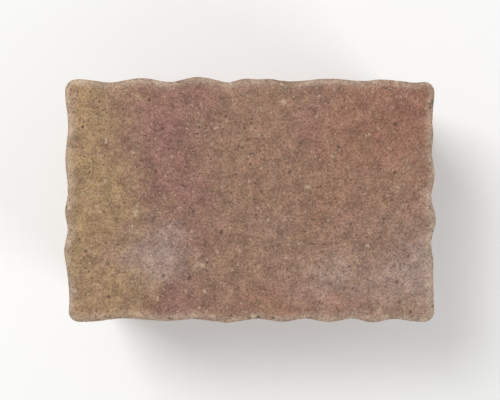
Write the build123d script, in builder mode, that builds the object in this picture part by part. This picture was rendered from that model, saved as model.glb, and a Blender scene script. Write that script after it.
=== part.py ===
# Concrete paving stone with waved flanks, cast in one piece, in millimetres.
# X runs along the stone, Y across it and Z up. The origin is the middle of the bed face.
import os

from build123d import *

# Laying grid: one stone and its half of the joints around it
grid_length = 210.0
grid_width = 140.0
joint_width = 6.0
thickness = 80.0

# Flanks: how far the longest waves swing out of the flank's mean line
wave_swing = 1.4
corner_radius = 6.0

# Bevel of the upper edge, pressed together with the walking face
bevel_width = 3.0  # in plan
bevel_depth = 2.0  # down the flank

# Spacer ribs: half-round, on the flanks from the bed face up, each with a pointed top
rib_radius = 8.0
rib_pitch = 70.0
rib_top_depth = 24.0  # from the walking face down to the rib's point

# Crests and troughs of each flank, walked counter-clockwise seen from above:
# place along the side, then the swing there, outward positive
front_wave_shares = (
    (0.08, 0.4), (0.16, -0.7), (0.23, 0.0), (0.29, 0.3), (0.35, -0.5), (0.44, 1.0), (0.52, -0.6),
    (0.60, 0.5), (0.65, -0.7), (0.72, 0.7), (0.78, -0.7), (0.83, 0.8), (0.89, -0.5), (0.94, 0.4),
)
right_wave_shares = (
    (0.09, 0.3), (0.16, 0.0), (0.24, 0.1), (0.33, -0.8), (0.41, 1.0), (0.51, -0.8), (0.61, 0.7),
    (0.70, -0.4), (0.75, 0.1), (0.82, -0.3), (0.92, 0.4),
)
back_wave_shares = (
    (0.08, -0.7), (0.14, 0.1), (0.19, -0.3), (0.26, 0.4), (0.34, 0.0), (0.40, -0.5), (0.45, 0.5),
    (0.48, 0.2), (0.51, 0.5), (0.56, -0.8), (0.60, 0.4), (0.66, 1.0), (0.72, -0.8), (0.79, 0.7),
    (0.87, -1.0), (0.94, -0.1),
)
left_wave_shares = (
    (0.08, 0.5), (0.17, -0.6), (0.33, 0.5), (0.38, 0.2), (0.47, -0.3), (0.55, 0.7), (0.62, -0.4),
    (0.70, 1.0), (0.78, 0.2), (0.87, -0.9),
)

# The stone is one grid field less a joint
stone_length = grid_length - joint_width
stone_width = grid_width - joint_width


def waved_side(start, end, wave_shares):
    """Draw one flank in plan, as a curve through its crests and troughs."""
    along = end - start
    outward = along.normalized().rotate(Axis.Z, -90) * wave_swing
    bends = [start + along * place + outward * swing for place, swing in wave_shares]
    return Spline(start, *bends, end)


with BuildPart() as paving_stone:
    # Block: the waved plan drawn up to the walking face
    with BuildSketch():
        with BuildLine():
            front_left = Vector(-stone_length / 2, -stone_width / 2)
            front_right = Vector(stone_length / 2, -stone_width / 2)
            back_right = Vector(stone_length / 2, stone_width / 2)
            back_left = Vector(-stone_length / 2, stone_width / 2)
            waved_side(front_left, front_right, front_wave_shares)
            waved_side(front_right, back_right, right_wave_shares)
            waved_side(back_right, back_left, back_wave_shares)
            waved_side(back_left, front_left, left_wave_shares)
        make_face()
    extrude(amount=thickness)
    fillet(edges().filter_by(Axis.Z), radius=corner_radius)
    walking_face = faces().sort_by(Axis.Z)[-1]
    chamfer(walking_face.edges(), length=bevel_width, length2=bevel_depth, reference=walking_face)

    # Spacer ribs: they reach the grid line, so two stones set rib to rib keep one joint apart
    rib_straight = thickness - rib_top_depth - rib_radius
    ribs_along = int(grid_length // rib_pitch)
    ribs_across = int(grid_width // rib_pitch)
    standing = (Align.CENTER, Align.CENTER, Align.MIN)
    with GridLocations(rib_pitch, grid_width - 2 * rib_radius, ribs_along, 2):
        Cylinder(rib_radius, rib_straight, align=standing)
        with Locations((0, 0, rib_straight)):
            Cone(rib_radius, 0, rib_radius, align=standing)
    with GridLocations(grid_length - 2 * rib_radius, rib_pitch, 2, ribs_across):
        Cylinder(rib_radius, rib_straight, align=standing)
        with Locations((0, 0, rib_straight)):
            Cone(rib_radius, 0, rib_radius, align=standing)

paving_stone.part.label = "paving_stone"
os.makedirs("parts", exist_ok=True)
export_step(paving_stone.part, "parts/paving_stone.step")
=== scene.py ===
import math

import bpy
import numpy as np
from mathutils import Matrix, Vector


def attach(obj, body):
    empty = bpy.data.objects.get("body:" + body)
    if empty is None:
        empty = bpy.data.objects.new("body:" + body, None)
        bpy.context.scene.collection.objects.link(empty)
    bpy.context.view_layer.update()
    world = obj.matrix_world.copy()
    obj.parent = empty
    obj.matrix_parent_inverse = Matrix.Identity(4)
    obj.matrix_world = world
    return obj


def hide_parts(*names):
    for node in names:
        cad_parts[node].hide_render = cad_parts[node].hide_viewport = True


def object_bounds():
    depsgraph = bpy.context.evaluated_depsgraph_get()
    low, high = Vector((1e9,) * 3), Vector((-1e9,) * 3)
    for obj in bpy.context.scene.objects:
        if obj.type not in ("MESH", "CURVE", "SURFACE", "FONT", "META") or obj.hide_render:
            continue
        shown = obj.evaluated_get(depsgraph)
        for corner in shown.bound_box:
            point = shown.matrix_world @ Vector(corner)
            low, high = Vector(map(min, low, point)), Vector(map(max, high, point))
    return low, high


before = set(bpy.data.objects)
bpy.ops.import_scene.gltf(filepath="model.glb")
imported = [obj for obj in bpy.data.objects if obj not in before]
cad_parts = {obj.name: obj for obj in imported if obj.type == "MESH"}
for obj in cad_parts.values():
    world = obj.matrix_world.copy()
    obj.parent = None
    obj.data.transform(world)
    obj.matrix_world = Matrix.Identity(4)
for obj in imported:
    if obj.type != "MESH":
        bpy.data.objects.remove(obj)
cadLow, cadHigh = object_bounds()
mm = 0.001
print("frame: box of", [round(side / mm, 1) for side in cadHigh - cadLow], "mm")

# the stone's skin, sizes in millimetres
stone = {
    "node": "paving_stone",
    "faceCell": 0.85,  # grid of the walking face and along the flanks
    "flankRow": 1.5,  # grid up the flanks
    "bevel": (3.0, 2.0),  # of the upper edge: width in plan, depth
    "bevelRows": 8,
    "bevelSteps": 40,  # small steps that add up to one row of the bevel
    "bevelTurns": ((0.0, 0.25), (0.68, 1.0)),  # shares of the bevel's length that its worn arrises take
    "leanOver": 2.0,  # bevel lengths over which the relief's direction turns from up to level
    "arris": 0.7,  # slant where flank and bed meet
    "footLean": 135.0,  # degrees from straight up of the relief's direction there
    "bedCell": 2.4,  # grid of the bed
    "ribRadius": 8.0,
    "ribPitch": 70.0,
    "ribTopDepth": 24.0,  # from the walking face to a rib's point
    "ribRow": (0.65, 4.5),  # grid up the ribs' sloped tops, and how far up these show
    "ribFillet": 0.5,
    "evenOver": 2,  # neighbours to either side over which the way out of the loop is evened
    "samePlane": 0.01,  # points this near to the highest one lie in the walking face
    "loopDigits": 4,  # decimals by which points of the loop are told apart
}

# relief of the cast surface, in millimetres
relief = {
    # noises: length of a swell, how deep it sinks the skin, layers, seed
    "swell": (42.0, 0.30, 2, 11),
    "lumps": (7.5, 0.26, 2, 21),
    "grain": (2.3, 0.20, 2, 31),
    "flankGrain": (3.4, 0.24, 3, 41),
    "dragMarks": (2.6, 0.16, 2, 51),
    "bedLumps": (8.0, 0.55, 2, 71),
    "dragStretch": 14.0,  # flank marks are this much longer up than along
    # rubbed stretches of the upper edge, which start and are full at two levels of their noise
    "wear": {"length": 9.0, "layers": 3, "seed": 91, "levels": (0.45, 0.70), "depth": 0.55},
    "rimWidth": 3.0,  # reach of wear and chips to either side of the bevel's middle
    # pits: lengths of the fine noise that cuts them and the slow noise that gathers them, and the levels of
    # the fine noise at which they start where they are most and least gathered
    "facePits": {"lengths": (1.7, 24.0), "layers": 2, "seeds": (101, 106),
                 "levels": (0.73, 0.88), "depth": 0.40},
    "flankPits": {"lengths": (2.6, 30.0), "layers": 2, "seeds": (111, 116),
                  "levels": (0.73, 0.86), "depth": 0.65},
    "bedPits": {"lengths": (9.0, 40.0), "layers": 1, "seeds": (121, 126),
                "levels": (0.68, 0.86), "depth": 0.55},
    "gathered": (0.25, 0.75),  # levels of the slow noise where pits are least and most gathered
    "pitRise": 0.125,  # rise of the fine noise from a pit's edge to its full depth
    # round hollows: lattice cell, share of cells that hold one, radii, depth as a share of the radius
    "pores": {"cell": 4.2, "share": 0.40, "radii": (0.5, 1.3), "depth": 0.5, "seed": 61},
    "chips": {"cell": 8.0, "share": 0.35, "radii": (1.2, 4.0), "depth": 0.28, "seed": 81},
    "fullHollow": 0.40,  # depth at which a pit or pore is as dark as it gets with dirt and painted shade
    "wholeZone": 0.99,  # share from which a point counts as all face, all flank or all bed
}

# numbers of the lattice hash: factors of a corner and of the seed, then shifts and factors that stir
hashParts = {
    "corner": (0x8DA6B343, 0xD8163841, 0xCB1AB31F),
    "seed": 7919,
    "stir": ((16, 0x7FEB352D), (15, 0x846CA68B), (16, 1)),
}

# axes that no edge of the stone lines up with, for the layers of noise
askewAxes = np.linalg.qr(np.array([(0.9, 0.5, 0.3), (-0.4, 0.8, 0.6), (0.2, -0.7, 0.9)]))[0]

# ways out of the four sides, counter-clockwise from the front
sideWays = np.array([(0, -1), (1, 0), (0, 1), (-1, 0)])


# how far a value has risen from one level to another, from 0 to 1
def rise(value, low, high):
    return np.clip((value - low) / (high - low), 0, 1)


# the same with eased ends: 3 x^2 - 2 x^3 of the rise
def easedRise(value, low, high):
    x = rise(value, low, high)
    return x**2 * (3 - 2 * x)


# a number from 0 to 1 for each lattice corner: its three whole numbers and a seed, multiplied and stirred
def latticeHash(corner, seed):
    whole = corner.astype(np.int64).astype(np.uint32)
    number = np.full(len(whole), seed * hashParts["seed"], dtype=np.uint32)
    for axis, factor in enumerate(hashParts["corner"]):
        number += whole[:, axis] * np.uint32(factor)
    for shift, factor in hashParts["stir"]:
        number ^= number >> np.uint32(shift)
        number *= np.uint32(factor)
    return number / 2.0**32


# smooth noise: the eight corner numbers of a point's cell, blended by the quintic fade of its place there
def latticeNoise(points, seed):
    base = np.floor(points)
    part = points - base
    fade = part**3 * (part * (part * 6 - 15) + 10)
    total = np.zeros(len(points))
    for corner in np.ndindex(2, 2, 2):
        step = np.array(corner)
        total += np.where(step, fade, 1 - fade).prod(axis=1) * latticeHash(base + step, seed)
    return total


# layered noise: each layer is turned askew to the one before, twice as fine and half as strong, and the sum
# is brought back to 0 to 1
def layeredNoise(points, length, layers, seed):
    turned = points / length
    total = np.zeros(len(points))
    for k in range(layers):
        turned = turned @ askewAxes
        total += latticeNoise(turned * 2**k, seed + k) / 2**k
    return total / (2 - 2 ** (1 - layers))


# depth to which one of the noises named above sinks the skin: its layers times its depth
def sunkBy(name, points):
    length, deep, layers, seed = relief[name]
    return layeredNoise(points, length, layers, seed) * deep


# pits: where fine noise rises over a level, the skin sinks by the rise; slow noise moves that level between
# two bounds, so that pits gather in some places and are rare in others
def cutPits(points, lengths, layers, seeds, levels, depth):
    fine, slow = [layeredNoise(points, lengths[k], layers, seeds[k]) for k in range(2)]
    level = levels[1] + (levels[0] - levels[1]) * rise(slow, *relief["gathered"])
    return rise(fine, level, level + relief["pitRise"]) * depth


# pores: a lattice cell may hold one ball, most of them small, and where the skin cuts a ball it sinks as a
# bowl, 1 - (distance / radius)^2
def cutPores(points, cell, share, radii, depth, seed):
    base = np.floor(points / cell)
    sunk = np.zeros(len(points))
    for step in np.ndindex(3, 3, 3):
        corner = base + np.array(step) - 1
        *place, size, pick = [latticeHash(corner, seed + k) for k in range(5)]
        radius = radii[0] + (radii[1] - radii[0]) * size**3
        centre = (corner + np.stack(place, axis=1)) * cell
        apart = np.linalg.norm(points - centre, axis=1) / radius
        bowl = np.maximum(1 - apart**2, 0) * radius * depth
        sunk = np.maximum(sunk, np.where(pick < share, bowl, 0))
    return sunk


# the loop where the walking face meets its bevel: corners of the triangles that lie only partly in the top
# plane, put in order by their angle round the middle
def readTopLoop(node):
    mesh = node.data
    places = np.empty(len(mesh.vertices) * 3)
    mesh.vertices.foreach_get("co", places)
    places = places.reshape(-1, 3) / mm
    mesh.calc_loop_triangles()
    corners = np.empty(len(mesh.loop_triangles) * 3, dtype=np.int64)
    mesh.loop_triangles.foreach_get("vertices", corners)
    corners = corners.reshape(-1, 3)
    inPlane = places[corners, 2] > places[:, 2].max() - stone["samePlane"]
    mixed = inPlane.any(axis=1) & ~inPlane.all(axis=1)
    found = places[corners[mixed]][inPlane[mixed]][:, :2]
    loop = np.unique(found.round(stone["loopDigits"]), axis=0)
    return loop[np.argsort(np.arctan2(loop[:, 1], loop[:, 0]))]


# one side of the loop, from one corner's middle to the next, as points at equal lengths along it
def evenSide(loop, start, stop, cells):
    count = (stop - start) % len(loop)
    line = loop[(start + np.arange(count + 1)) % len(loop)]
    along = np.concatenate([[0], np.cumsum(np.linalg.norm(np.diff(line, axis=0), axis=1))])
    wanted = np.linspace(0, along[-1], cells + 1)
    return np.stack([np.interp(wanted, along, line[:, axis]) for axis in range(2)], axis=1)


# the loop's four sides, counter-clockwise from the front; they meet at the corners' middles, the loop points
# that reach furthest along the diagonals
def loopSides(loop, box, cell):
    middles = [int(np.argmax(loop @ np.array(way))) for way in ((-1, -1), (1, -1), (1, 1), (-1, 1))]
    cells = [int(2 * box[axis] / cell) for axis in (0, 1, 0, 1)]
    return [evenSide(loop, middles[k], middles[(k + 1) % 4], cells[k]) for k in range(4)]


# four edge curves filled by the sum of the two straight blends between facing curves, less the blend of the
# four corners
def filledGrid(front, right, back, left):
    u = np.linspace(0, 1, len(front))[:, None, None]
    v = np.linspace(0, 1, len(left))[None, :, None]
    across = front[:, None] * (1 - v) + back[:, None] * v
    along = left[None] * (1 - u) + right[None] * u
    near = front[0] * (1 - u) + front[-1] * u
    far = back[0] * (1 - u) + back[-1] * u
    return across + along - near * (1 - v) - far * v


# flat face inside the loop at one height: its points, how many cells each lies in from the edge, the points
# of its edge in order, and the quads, which face up
def flatFace(front, right, back, left, height):
    grid = filledGrid(front, right, back[::-1], left[::-1])
    points = np.dstack([grid, np.full(grid.shape[:2], height)]).reshape(-1, 3)
    index = np.arange(len(points)).reshape(grid.shape[:2])
    edge = np.concatenate([index[:-1, 0], index[-1, :-1], index[:0:-1, -1], index[0, :0:-1]])
    quads = np.stack([index[:-1, :-1], index[1:, :-1], index[1:, 1:], index[:-1, 1:]], axis=-1)
    inX, inY = [np.minimum(np.arange(size), np.arange(size)[::-1]) for size in index.shape]
    return points, np.minimum(inX[:, None], inY[None]).ravel(), edge, quads.reshape(-1, 4)


# outward direction of a closed counter-clockwise line: its direction turned right, evened over neighbours
def outwardOf(ring):
    ahead = np.roll(ring, -1, axis=0) - np.roll(ring, 1, axis=0)
    out = np.stack([ahead[:, 1], -ahead[:, 0]], axis=1)
    out = sum(np.roll(out, k, axis=0) for k in range(-stone["evenOver"], stone["evenOver"] + 1))
    return out / np.linalg.norm(out, axis=1, keepdims=True)


# height at which the ribs stop being straight bars
def ribStraight(top):
    return top - stone["ribTopDepth"] - stone["ribRadius"]


# how far the ribs push a flank row out: on its own side each rib is a standing round bar that ends in a
# cone, and the row takes the greater of flank and bar, rounded where they meet
def ribPush(flank, heights, sideOf, box, top):
    push = np.zeros((len(heights), len(flank)))
    radius = stone["ribRadius"]
    fillet = stone["ribFillet"]
    barRadius = np.clip(radius - (heights - ribStraight(top)), 0, radius)[:, None]
    for side, way in enumerate(sideWays):
        axis = int(np.argmax(np.abs(way)))
        count = round(2 * box[1 - axis] / stone["ribPitch"])
        for k in range(count):
            place = (k - (count - 1) / 2) * stone["ribPitch"]
            room = barRadius**2 - (flank[:, 1 - axis] - place) ** 2
            bar = box[axis] - radius + np.sqrt(np.maximum(room, 0))
            gain = np.where((room > 0) & (sideOf == side), bar - flank[:, axis] * way[axis], -radius)
            rounded = np.maximum(gain, 0) + np.maximum(fillet - np.abs(gain), 0) ** 2 / (4 * fillet)
            push = np.maximum(push, rounded)
    return push


# profile of the upper edge from the walking face down: its lean turns from level to the bevel's slope and
# then to upright, each turn eased, and small steps along that lean are added up and brought to the bevel's
# width and depth
def bevelProfile():
    width, depth = stone["bevel"]
    slope = math.atan2(depth, width)
    share = np.linspace(0, 1, stone["bevelSteps"] * stone["bevelRows"] + 1)
    lean = np.zeros_like(share)
    for turn, stretch in zip((slope, math.pi / 2 - slope), stone["bevelTurns"]):
        lean += turn * easedRise(share, *stretch)
    out = np.cumsum(np.cos(lean))
    down = np.cumsum(np.sin(lean))
    rows = np.arange(1, stone["bevelRows"] + 1) * stone["bevelSteps"]
    offsets = width * out[rows] / out[-1]
    drops = depth * down[rows] / down[-1]
    way = np.cumsum(np.hypot(np.diff(offsets, prepend=0), np.diff(drops, prepend=0)))
    return offsets, drops, way


# heights of the rows from one height down to another, in even steps, without the first
def rowsDown(start, stop, step):
    return np.linspace(start, stop, round((start - stop) / step) + 1)[1:]


# profile from the loop down: bevel, upright and a small slant at the foot, as heights, offsets out of the
# loop, the way along the profile, and how far the relief's direction leans from straight up
def skirtProfile(top):
    width, depth = stone["bevel"]
    bevelOut, bevelDrop, bevelWay = bevelProfile()
    straight = ribStraight(top)
    ribRow, ribSlope = stone["ribRow"]
    upright = np.concatenate([rowsDown(top - depth, straight + ribSlope, stone["flankRow"]),
                              rowsDown(straight + ribSlope, straight, ribRow),
                              rowsDown(straight, stone["arris"], stone["flankRow"])])
    heights = np.concatenate([top - bevelDrop, upright, [0.0]])
    offsets = np.concatenate([bevelOut, np.full(len(upright), width), [width - stone["arris"]]])
    way = np.concatenate([bevelWay, bevelWay[-1] + top - depth - upright, [top]])
    # it turns more slowly than the bevel does, so that rows can't fold over each other
    lean = math.pi / 2 * easedRise(way, 0, stone["leanOver"] * bevelWay[-1])
    lean[-1] = math.radians(stone["footLean"])
    return {"heights": heights, "offsets": offsets, "way": way, "lean": lean}


# bevel and flanks: the profile carried round the loop and pushed out by the ribs, as rows of points with the
# relief's direction at each, and how far a rib pushes it
def carriedSkirt(ring, sideOf, profile, box, top):
    heights, lean = profile["heights"], profile["lean"]
    out = outwardOf(ring)
    push = ribPush(ring + stone["bevel"][0] * out, heights, sideOf, box, top)
    plan = ring[None] + profile["offsets"][:, None, None] * out[None]
    plan = plan + push[:, :, None] * sideWays[sideOf][None]
    points = np.dstack([plan, np.broadcast_to(heights[:, None], push.shape)])
    level = np.sin(lean)[:, None, None] * out[None]
    return points, np.dstack([level, np.broadcast_to(np.cos(lean)[:, None], push.shape)]), push


# the whole skin: walking face, skirt and bed as one list of points with the relief's directions, the way of
# each from the loop, negative inwards, how far it stands out on a rib, and the faces
def buildStone(node):
    top = cadHigh.z / mm
    box = (cadHigh.x / mm, cadHigh.y / mm)
    loop = readTopLoop(node)
    sides = loopSides(loop, box, stone["faceCell"])
    bedSides = loopSides(loop, box, stone["bedCell"])
    cells, bedCells = [[len(side) - 1 for side in four] for four in (sides, bedSides)]
    ring = np.concatenate([side[:-1] for side in sides])
    count = len(ring)
    face, cellsIn, edge, faceQuads = flatFace(*sides, top)
    bed, _, bedEdge, bedQuads = flatFace(*bedSides, 0.0)
    profile = skirtProfile(top)
    skirt, skirtOut, push = carriedSkirt(ring, np.repeat(np.arange(4), cells), profile, box, top)

    points = np.concatenate([face, skirt.reshape(-1, 3), bed])
    normals = np.concatenate([np.tile([0.0, 0, 1], (len(face), 1)), skirtOut.reshape(-1, 3),
                              np.tile([0.0, 0, -1], (len(bed), 1))])
    way = np.concatenate([-stone["faceCell"] * cellsIn, np.repeat(profile["way"], count),
                          np.full(len(bed), top)])
    crest = np.concatenate([np.zeros(len(face)), push.ravel() / push.max(), np.zeros(len(bed))])

    # rows of the skirt hang on the face's edge, and each point of the last row meets the nearest one of the
    # bed's edge, which has fewer
    rows = len(face) + np.arange(len(skirt) * count).reshape(-1, count)
    rows = np.concatenate([edge[None], rows])
    beside = np.roll(rows, -1, axis=1)
    strips = np.stack([rows[:-1], rows[1:], beside[1:], beside[:-1]], axis=-1).reshape(-1, 4)
    bedStart = len(points) - len(bed)
    nearest = np.interp(np.arange(count), np.cumsum([0, *cells]), np.cumsum([0, *bedCells]))
    toBed = bedStart + bedEdge[np.round(nearest).astype(np.int64) % len(bedEdge)]
    closing = np.stack([rows[-1], toBed, np.roll(toBed, -1), beside[-1]], axis=1)
    pinched = closing[:, 1] == closing[:, 2]
    quads = np.concatenate([faceQuads, strips, closing[~pinched], bedStart + bedQuads[:, ::-1]])
    print("stone: skin of", len(points), "points")
    return points, normals, way, crest, quads, closing[pinched][:, [0, 1, 3]]


# depth of the cast surface under the plain skin, and the masks that its colours use: each zone's noises,
# pits and pores added up, less the least depth of the zone, so that face, flanks and bed still reach their
# planes
def castRelief(points, normals, way):
    face = np.clip(normals[:, 2], 0, 1) ** 2
    bed = np.clip(-normals[:, 2], 0, 1) ** 2
    flank = 1 - face - bed
    rim = np.exp(-((way - stone["bevel"][0] / 2) / relief["rimWidth"]) ** 2)
    dragged = points / np.array([1, 1, relief["dragStretch"]])
    worn = relief["wear"]
    wear = layeredNoise(points, worn["length"], worn["layers"], worn["seed"])
    wear = rise(wear, *worn["levels"]) * worn["depth"] * rim
    chips = cutPores(points, **relief["chips"]) * rim
    pores = cutPores(points, **relief["pores"])
    facePits = np.maximum(cutPits(points, **relief["facePits"]), pores) * face
    flankPits = cutPits(points, **relief["flankPits"]) * flank
    bedPits = cutPits(points, **relief["bedPits"]) * bed
    depth = sunkBy("swell", points) + sunkBy("lumps", points) + sunkBy("grain", points) * face
    depth += (sunkBy("flankGrain", points) + sunkBy("dragMarks", dragged)) * flank
    depth += sunkBy("bedLumps", points) * bed + facePits + flankPits + bedPits + wear + chips
    least = sum(zone * depth[zone > relief["wholeZone"]].min() for zone in (face, flank, bed))
    hollow = np.clip((facePits + flankPits) / relief["fullHollow"], 0, 1)  # the bed's shallow pits get no painted shade and stay pale
    print("stone: pits and pores down to", round((facePits + flankPits).max(), 2), "mm")
    return np.maximum(depth - least, 0), {"hollow": hollow, "rim": rim, "flank": flank}


# a smooth mesh of the points, brought from millimetres to metres, with its masks
def putMesh(name, points, quads, triangles, masks):
    mesh = bpy.data.meshes.new(name)
    mesh.from_pydata(points * mm, [], quads.tolist() + triangles.tolist())
    mesh.polygons.foreach_set("use_smooth", np.ones(len(mesh.polygons), dtype=bool))
    for mask, values in masks.items():
        mesh.attributes.new(mask, "FLOAT", "POINT").data.foreach_set("value", values.astype(np.float32))
    mesh.validate()
    piece = bpy.data.objects.new(name, mesh)
    bpy.context.collection.objects.link(piece)
    return piece


points, normals, way, crest, quads, triangles = buildStone(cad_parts[stone["node"]])
depth, masks = castRelief(points, normals, way)
masks["crest"] = crest
skin = putMesh("castSkin", points - normals * depth[:, None], quads, triangles, masks)
print("stone:", 2 * len(quads) + len(triangles), "triangles, relief down to", round(depth.max(), 2), "mm")

# colours as seen on screen, 0 to 255, and lengths in millimetres
concrete = {
    "brown": (151, 118, 99),
    # pigment clouds, laid over each other in this order: colour, levels where a cloud starts and is full,
    # most cover, and patches: centre as a share of half the face, reach, strength
    "clouds": {
        "rose": {"colour": (145, 106, 97), "levels": (0.89, 1.54), "cover": 1.0, "patches": [
            ((-0.42, 0.45), (38, 96), 0.95), ((-0.38, -0.85), (30, 28), 0.8), ((0.3, 0.75), (26, 44), 0.5)]},
        "clay": {"colour": (155, 112, 94), "levels": (0.89, 1.54), "cover": 1.0, "patches": [
            ((0.75, 0.65), (84, 70), 0.8), ((0.2, -0.95), (70, 26), 0.7), ((0.5, 0.0), (60, 50), 0.5)]},
        "ochre": {"colour": (164, 135, 101), "levels": (0.84, 1.54), "cover": 1.0, "patches": [
            ((-0.98, 0.0), (50, 150), 1.0), ((-0.72, -0.7), (40, 50), 0.8), ((0.0, 0.6), (30, 60), 0.10)]},
        "bloom": {"colour": (172, 149, 139), "levels": (0.99, 1.74), "cover": 0.8, "patches": [
            ((-0.44, -0.38), (30, 34), 0.85), ((0.9, -0.6), (72, 60), 0.92), ((0.5, -0.5), (74, 54), 0.62)]},
    },
    "patchDepth": 320.0,  # reach of the patches down into the stone
    "push": 34.0,  # how far the swirls push the clouds about
    "fray": (0.40, 0.22),  # fraying of a cloud's edge, by noise and by single grains
    # noises: length of the largest swell, octaves, roughness, seed
    "noises": {
        "swirl": (26.0, 3.0, 0.6, 1),
        "fray": (6.0, 3.0, 0.6, 10),
        "drift": (46.0, 3.0, 0.5, 20),
        "tint": (9.0, 4.0, 0.6, 31),
        "mottle": (7.5, 5.0, 0.62, 32),
        "streak": (relief["dragMarks"][0], 3.0, 0.6, 33),
        "skin": (0.45, 3.0, 0.6, 34),
        "rub": (6.0, 4.0, 0.65, 35),
    },
    "seedStep": (100.0, 70.0, 130.0),  # how far one seed's noise lies from the next one's
    # levels of a noise between which it acts, and what it does there
    "tint": {"rose": (0.5, 0.2), "ochre": (0.5, 0.8), "cover": 0.40},  # small drift to either colour
    "mottle": {"levels": (0.25, 0.75), "swing": 0.24},  # swing of tone
    "streak": {"levels": (0.3, 0.7), "swing": 0.07},  # the same in the drag marks of the flanks
    "rubbed": {"colour": (190, 168, 148), "levels": (0.3, 0.65), "cover": (0.30, 0.80)},  # the upper edge
    "sand": {"size": 0.8, "swing": 0.22, "height": 0.10},
    "skinHeight": 0.07,  # of the cement skin's own roughness
    # cement dust: cover on the flanks, and more on the scuffed crests of the ribs
    "dust": {"colour": (168, 147, 131), "flank": 0.30, "rib": 0.22, "ribLevels": (0.4, 1.0)},
    # dirt and painted shade in the pits, with a rim that the cement skin makes ragged
    "hollow": {"colour": (88, 67, 59), "ragged": 0.5, "levels": (0.55, 0.95), "cover": 0.65},
    # outline of a grain, in grain sizes: scale, reach and octaves of its raggedness, least and largest rim
    "outline": {"scale": 2.2, "reach": 1.1, "octaves": 2.0, "rims": (0.35, 0.7)},
    # single grains: colour, how much of a grain's dome shows, cover, height, and the share of the cells of
    # each size that hold one; the last kind is sunk, a pinhole, dark with dirt and painted shade
    "grainSizes": [1.3, 2.2, 3.6],
    "grit": [
        {"colour": (200, 180, 152), "dome": (0.15, 0.5), "cover": 0.62, "height": 0.08,
         "shares": [0.10, 0.07, 0.04]},
        {"colour": (186, 152, 140), "dome": (0.15, 0.5), "cover": 0.6, "height": 0.08,
         "shares": [0.08, 0.05, 0.02]},
        {"colour": (104, 82, 74), "dome": (0.15, 0.5), "cover": 0.6, "height": 0.05,
         "shares": [0.08, 0.04, 0.03]},
        # pinholes: dark with dirt and painted shade
        {"colour": (84, 64, 56), "dome": (0.45, 0.75), "cover": 0.8, "height": -0.25,
         "shares": [0.06, 0.10, 0.05]},
    ],
    "roughness": (0.95, 0.78),  # of the darkest and the palest sand
    "specular": 0.3,
}


# a screen colour as the light it stands for, by the screen's own curve
def screen(r, g, b):
    share = np.array([r, g, b]) / 255
    linear = np.where(share <= 0.04045, share / 12.92, ((share + 0.055) / 1.055) ** 2.4)
    return (*linear.tolist(), 1.0)


# helpers for node trees, one node each: a socket is filled by a value or linked to another node's socket
def fill(tree, socket, value):
    if isinstance(value, bpy.types.NodeSocket):
        tree.links.new(value, socket)
    else:
        socket.default_value = value


def calc(tree, operation, a, b):
    node = tree.nodes.new("ShaderNodeMath")
    node.operation = operation
    fill(tree, node.inputs[0], a)
    fill(tree, node.inputs[1], b)
    return node.outputs[0]


def vectorCalc(tree, operation, a, b):
    node = tree.nodes.new("ShaderNodeVectorMath")
    node.operation = operation
    fill(tree, node.inputs[0], a)
    fill(tree, node.inputs["Scale" if operation == "SCALE" else 1], b)
    return node.outputs[0]


# a value eased from one level to another by the same curve as easedRise
def ease(tree, value, low, high, toLow=0.0, toHigh=1.0):
    node = tree.nodes.new("ShaderNodeMapRange")
    node.interpolation_type = "SMOOTHSTEP"
    fill(tree, node.inputs["Value"], value)
    for name, number in (("From Min", low), ("From Max", high), ("To Min", toLow), ("To Max", toHigh)):
        fill(tree, node.inputs[name], number)
    return node.outputs[0]


# a tone that swings to either side of 1 as a value goes from low to high
def swing(tree, value, low, high, amount):
    return ease(tree, value, low, high, 1 - amount, 1 + amount)


# colour a covered by colour b, by a share or a mask
def blend(tree, share, a, b, mode="MIX"):
    node = tree.nodes.new("ShaderNodeMix")
    node.data_type = "RGBA"
    node.blend_type = mode
    fill(tree, node.inputs[0], share)
    fill(tree, node.inputs[6], a)
    fill(tree, node.inputs[7], b)
    return node.outputs[2]


# one of the masks that the skin carries
def maskOf(tree, name):
    node = tree.nodes.new("ShaderNodeAttribute")
    node.attribute_name = name
    return node.outputs["Fac"]


# one of the noises named above; a later one of the same name lies a seed further on
def noiseAt(tree, vector, name, later=0):
    length, octaves, roughness, seed = concrete["noises"][name]
    shift = tuple(step * mm * (seed + later) for step in concrete["seedStep"])
    node = tree.nodes.new("ShaderNodeTexNoise")
    fill(tree, node.inputs["Vector"], vectorCalc(tree, "ADD", vector, shift))
    node.inputs["Scale"].default_value = 1 / (length * mm)
    node.inputs["Detail"].default_value = octaves
    node.inputs["Roughness"].default_value = roughness
    return node.outputs


# a noise's colours are about a half, so less a half they point all ways
def centred(tree, colour):
    return vectorCalc(tree, "SUBTRACT", colour, (0.5, 0.5, 0.5))


# soft patches: 1 at a centre, falling to 0 at its reach, the strongest one at each place
def patches(tree, vector, table):
    total = 0.0
    for (x, y), (reachX, reachY), strength in table:
        mapping = tree.nodes.new("ShaderNodeMapping")
        mapping.vector_type = "TEXTURE"
        fill(tree, mapping.inputs["Vector"], vector)
        mapping.inputs["Location"].default_value = (x * cadHigh.x, y * cadHigh.y, cadHigh.z)
        mapping.inputs["Scale"].default_value = (reachX * mm, reachY * mm, concrete["patchDepth"] * mm)
        ball = tree.nodes.new("ShaderNodeTexGradient")
        ball.gradient_type = "SPHERICAL"
        tree.links.new(mapping.outputs[0], ball.inputs[0])
        total = calc(tree, "MAXIMUM", total, calc(tree, "MULTIPLY", ball.outputs["Fac"], strength))
    return total


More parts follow.
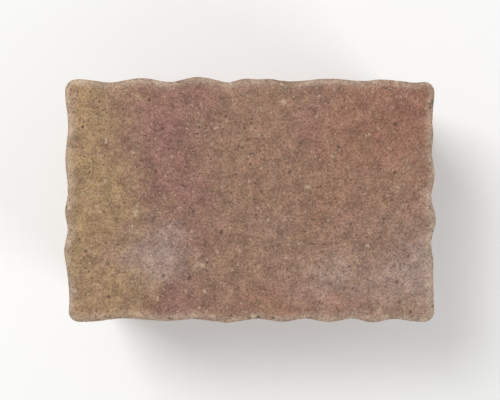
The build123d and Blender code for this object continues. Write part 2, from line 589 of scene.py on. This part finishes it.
# grain group: cells of one size with ragged outlines, each with a random tone and a second random number to
# pick it by, and a dome that is 1 at a grain's middle and 0 at its rim, smaller in some cells than in others
def grainGroup():
    outline = concrete["outline"]
    group = bpy.data.node_groups.new("grainField", "ShaderNodeTree")
    group.interface.new_socket("Vector", in_out="INPUT", socket_type="NodeSocketVector")
    group.interface.new_socket("Scale", in_out="INPUT", socket_type="NodeSocketFloat")
    for name in ("Tone", "Pick", "Dome"):
        group.interface.new_socket(name, in_out="OUTPUT", socket_type="NodeSocketFloat")
    given = group.nodes.new("NodeGroupInput")
    ragged = group.nodes.new("ShaderNodeTexNoise")
    cells = group.nodes.new("ShaderNodeTexVoronoi")
    split = group.nodes.new("ShaderNodeSeparateColor")
    result = group.nodes.new("NodeGroupOutput")
    place, scale = given.outputs["Vector"], given.outputs["Scale"]
    ragged.inputs["Detail"].default_value = outline["octaves"]
    group.links.new(place, ragged.inputs["Vector"])
    group.links.new(calc(group, "MULTIPLY", scale, outline["scale"]), ragged.inputs["Scale"])
    reach = calc(group, "DIVIDE", outline["reach"], scale)
    shift = vectorCalc(group, "SCALE", centred(group, ragged.outputs["Color"]), reach)
    group.links.new(vectorCalc(group, "ADD", place, shift), cells.inputs["Vector"])
    group.links.new(scale, cells.inputs["Scale"])
    group.links.new(cells.outputs["Color"], split.inputs[0])
    group.links.new(split.outputs[0], result.inputs["Tone"])
    group.links.new(split.outputs[1], result.inputs["Pick"])
    rim = ease(group, split.outputs[2], 0.0, 1.0, *outline["rims"])
    group.links.new(ease(group, cells.outputs["Distance"], rim, 0.0), result.inputs["Dome"])
    return group


# the grain group at one size of grain
def grains(tree, group, vector, size):
    node = tree.nodes.new("ShaderNodeGroup")
    node.node_tree = group
    fill(tree, node.inputs["Vector"], vector)
    node.inputs["Scale"].default_value = 1 / (size * mm)
    return node.outputs["Tone"], node.outputs["Pick"], node.outputs["Dome"]


# clouds of pigment over the brown, on coordinates pushed about by slow swirls, with frayed edges
def pigment(tree, place, sandPick):
    swirls = centred(tree, noiseAt(tree, place, "swirl")["Color"])
    pushed = vectorCalc(tree, "ADD", place, vectorCalc(tree, "SCALE", swirls, concrete["push"] * mm))
    byNoise, byGrain = concrete["fray"]
    speckle = calc(tree, "MULTIPLY", sandPick, byGrain)
    colour = screen(*concrete["brown"])
    for k, cloud in enumerate(concrete["clouds"].values()):
        drift = noiseAt(tree, pushed, "drift", k)["Fac"]
        fray = calc(tree, "MULTIPLY", noiseAt(tree, place, "fray", k)["Fac"], byNoise)
        spread = patches(tree, pushed, cloud["patches"])
        for part in (drift, fray, speckle):
            spread = calc(tree, "ADD", spread, part)
        cover = ease(tree, spread, *cloud["levels"], 0.0, cloud["cover"])
        colour = blend(tree, cover, colour, screen(*cloud["colour"]))
    return colour


# cement dust on the flanks and the crests of the ribs
def dusted(tree, colour):
    dust = concrete["dust"]
    onFlank = calc(tree, "MULTIPLY", maskOf(tree, "flank"), dust["flank"])
    onRibs = ease(tree, maskOf(tree, "crest"), *dust["ribLevels"], 0.0, dust["rib"])
    return blend(tree, calc(tree, "ADD", onFlank, onRibs), colour, screen(*dust["colour"]))


# small drift of colour, to rose at one end of a noise and to ochre at the other
def tinted(tree, place, colour):
    tint = concrete["tint"]
    drift = noiseAt(tree, place, "tint")["Fac"]
    for name in ("rose", "ochre"):
        cover = ease(tree, drift, *tint[name], 0.0, tint["cover"])
        colour = blend(tree, cover, colour, screen(*concrete["clouds"][name]["colour"]))
    return colour


# the upper edge, rubbed pale in stretches
def rubbed(tree, place, colour):
    rub = concrete["rubbed"]
    cover = ease(tree, noiseAt(tree, place, "rub")["Fac"], *rub["levels"], *rub["cover"])
    return blend(tree, calc(tree, "MULTIPLY", maskOf(tree, "rim"), cover), colour, screen(*rub["colour"]))


# tone: mottles times sand times the drag marks of the flanks
def toneOf(tree, place, sandTone):
    mottle, streak = concrete["mottle"], concrete["streak"]
    dragged = vectorCalc(tree, "MULTIPLY", place, (1, 1, 1 / relief["dragStretch"]))
    marks = swing(tree, noiseAt(tree, dragged, "streak")["Fac"], *streak["levels"], streak["swing"])
    tone = swing(tree, noiseAt(tree, place, "mottle")["Fac"], *mottle["levels"], mottle["swing"])
    tone = calc(tree, "MULTIPLY", tone, swing(tree, sandTone, 0.0, 1.0, concrete["sand"]["swing"]))
    return calc(tree, "MULTIPLY", tone, ease(tree, maskOf(tree, "flank"), 0.0, 1.0, 1.0, marks))


# single grains that show through, in colour and height: each kind takes its own stretch of the random
# numbers that pick it; the sunk pinholes are dark with dirt and painted shade
def gritted(tree, group, place, colour, height):
    for k, size in enumerate(concrete["grainSizes"]):
        _, pick, dome = grains(tree, group, place, size)
        taken = 0.0
        for grit in concrete["grit"]:
            before = calc(tree, "LESS_THAN", pick, taken)
            taken += grit["shares"][k]
            picked = calc(tree, "SUBTRACT", calc(tree, "LESS_THAN", pick, taken), before)
            spot = calc(tree, "MULTIPLY", picked, ease(tree, dome, *grit["dome"], 0.0, grit["cover"]))
            colour = blend(tree, spot, colour, screen(*grit["colour"]))
            height = calc(tree, "ADD", height, calc(tree, "MULTIPLY", spot, grit["height"]))
    return colour, height


# pits and pores darkened with dirt and painted shade, with ragged outlines
def hollowed(tree, colour, skinNoise):
    hollow = concrete["hollow"]
    ragged = calc(tree, "MULTIPLY", skinNoise, hollow["ragged"])
    spread = calc(tree, "ADD", maskOf(tree, "hollow"), ragged)
    cover = ease(tree, spread, *hollow["levels"], 0.0, hollow["cover"])
    return blend(tree, cover, colour, screen(*hollow["colour"]))


# colours laid over each other from the body of the stone outwards, and the heights of its grains as bump
def concreteMaterial():
    material = bpy.data.materials.new("cloudedConcrete")
    material.use_nodes = True
    tree = material.node_tree
    shader = tree.nodes["Principled BSDF"]
    place = tree.nodes.new("ShaderNodeTexCoord").outputs["Object"]
    group = grainGroup()
    sand = concrete["sand"]
    sandTone, sandPick, sandDome = grains(tree, group, place, sand["size"])
    skinNoise = noiseAt(tree, place, "skin")["Fac"]

    colour = dusted(tree, pigment(tree, place, sandPick))
    colour = rubbed(tree, place, tinted(tree, place, colour))
    colour = blend(tree, 1.0, colour, toneOf(tree, place, sandTone), "MULTIPLY")
    height = calc(tree, "ADD", calc(tree, "MULTIPLY", sandDome, sand["height"]),
                  calc(tree, "MULTIPLY", skinNoise, concrete["skinHeight"]))
    colour, height = gritted(tree, group, place, colour, height)
    tree.links.new(hollowed(tree, colour, skinNoise), shader.inputs["Base Color"])

    # dull all over, a little less so on pale sand; heights are in millimetres
    fill(tree, shader.inputs["Roughness"], ease(tree, sandTone, 0.0, 1.0, *concrete["roughness"]))
    shader.inputs["Specular IOR Level"].default_value = concrete["specular"]
    bump = tree.nodes.new("ShaderNodeBump")
    bump.inputs["Strength"].default_value = 1.0
    bump.inputs["Distance"].default_value = mm
    tree.links.new(height, bump.inputs["Height"])
    tree.links.new(bump.outputs[0], shader.inputs["Normal"])
    return material


skin.data.materials.append(concreteMaterial())
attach(skin, "root")
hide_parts(stone["node"])
print("concrete: clouded brown, rose, clay and ochre")

# floor, light and camera, in metres and watts
studio = {
    "floorReach": 3.0,
    "floorTone": (247, 247, 246),
    "floorRoughness": 0.9,
    # glow of the floor for rays that show it, near the stone and far off, and where it rises between them
    "floorGlow": (0.09, 1.0),
    "glowFrom": (0.25, 1.6),
    "sky": 0.37,
    "lamps": [
        {"name": "softbox", "place": (-0.9, 0.8, 1.25), "size": 0.9, "power": 20.0},
        {"name": "frontFill", "place": (1.25, -0.9, 0.65), "size": 0.8, "power": 10.0},
    ],
    "lens": 50.0,
    "clipStart": 0.01,
    "pixelsWide": 500,
    "stonePixels": 380,  # length of the stone in the picture, over its ribs
}


# 1 for rays that show the background itself: from the camera, or by a mirror or through glass
def seenRay(tree):
    path = tree.nodes.new("ShaderNodeLightPath")
    seen = calc(tree, "MAXIMUM", path.outputs["Is Camera Ray"], path.outputs["Is Glossy Ray"])
    return calc(tree, "MAXIMUM", seen, path.outputs["Is Transmission Ray"])


# pale floor under the stone, which takes its shadow
def buildFloor():
    reach = studio["floorReach"]
    corners = np.array([(-reach, -reach), (reach, -reach), (reach, reach), (-reach, reach)])
    mesh = bpy.data.meshes.new("floor")
    mesh.from_pydata(np.column_stack([corners, np.full(4, cadLow.z)]), [], [(0, 1, 2, 3)])
    floor = bpy.data.objects.new("floor", mesh)
    bpy.context.collection.objects.link(floor)
    paint = bpy.data.materials.new("paleFloor")
    paint.use_nodes = True
    tree = paint.node_tree
    shader = tree.nodes["Principled BSDF"]
    shader.inputs["Base Color"].default_value = screen(*studio["floorTone"])
    shader.inputs["Roughness"].default_value = studio["floorRoughness"]
    shader.inputs["Specular IOR Level"].default_value = 0.0
    shader.inputs["Emission Color"].default_value = (1, 1, 1, 1)
    away = tree.nodes.new("ShaderNodeVectorMath")
    away.operation = "LENGTH"
    tree.links.new(tree.nodes.new("ShaderNodeTexCoord").outputs["Object"], away.inputs[0])
    glow = ease(tree, away.outputs["Value"], *studio["glowFrom"], *studio["floorGlow"])
    tree.links.new(calc(tree, "MULTIPLY", seenRay(tree), glow), shader.inputs["Emission Strength"])
    mesh.materials.append(paint)


# white sky, dimmer as light than as it is seen, and lamps turned to the stone
def buildLight():
    world = bpy.data.worlds.new("studio")
    bpy.context.scene.world = world
    world.use_nodes = True
    tree = world.node_tree
    back = tree.nodes["Background"]
    back.inputs["Color"].default_value = (1, 1, 1, 1)
    tree.links.new(ease(tree, seenRay(tree), 0.0, 1.0, studio["sky"], 1.0), back.inputs["Strength"])
    for lamp in studio["lamps"]:
        data = bpy.data.lights.new(lamp["name"], "AREA")
        data.size = lamp["size"]
        data.energy = lamp["power"]
        box = bpy.data.objects.new(lamp["name"], data)
        bpy.context.collection.objects.link(box)
        box.location = lamp["place"]
        box.rotation_euler = (-box.location).to_track_quat("-Z", "Y").to_euler()


# camera straight above: its distance makes the stone as long in the picture as wanted
def buildCamera():
    data = bpy.data.cameras.new("camera")
    data.lens = studio["lens"]
    data.clip_start = studio["clipStart"]
    camera = bpy.data.objects.new("camera", data)
    bpy.context.collection.objects.link(camera)
    seenWidth = 2 * cadHigh.x * studio["pixelsWide"] / studio["stonePixels"]
    camera.location = (0, 0, cadHigh.z + seenWidth * data.lens / data.sensor_width)
    bpy.context.scene.camera = camera


buildFloor()
buildLight()
buildCamera()
bpy.context.scene.view_settings.view_transform = "Standard"
print("studio: floor, lamps, camera straight above")
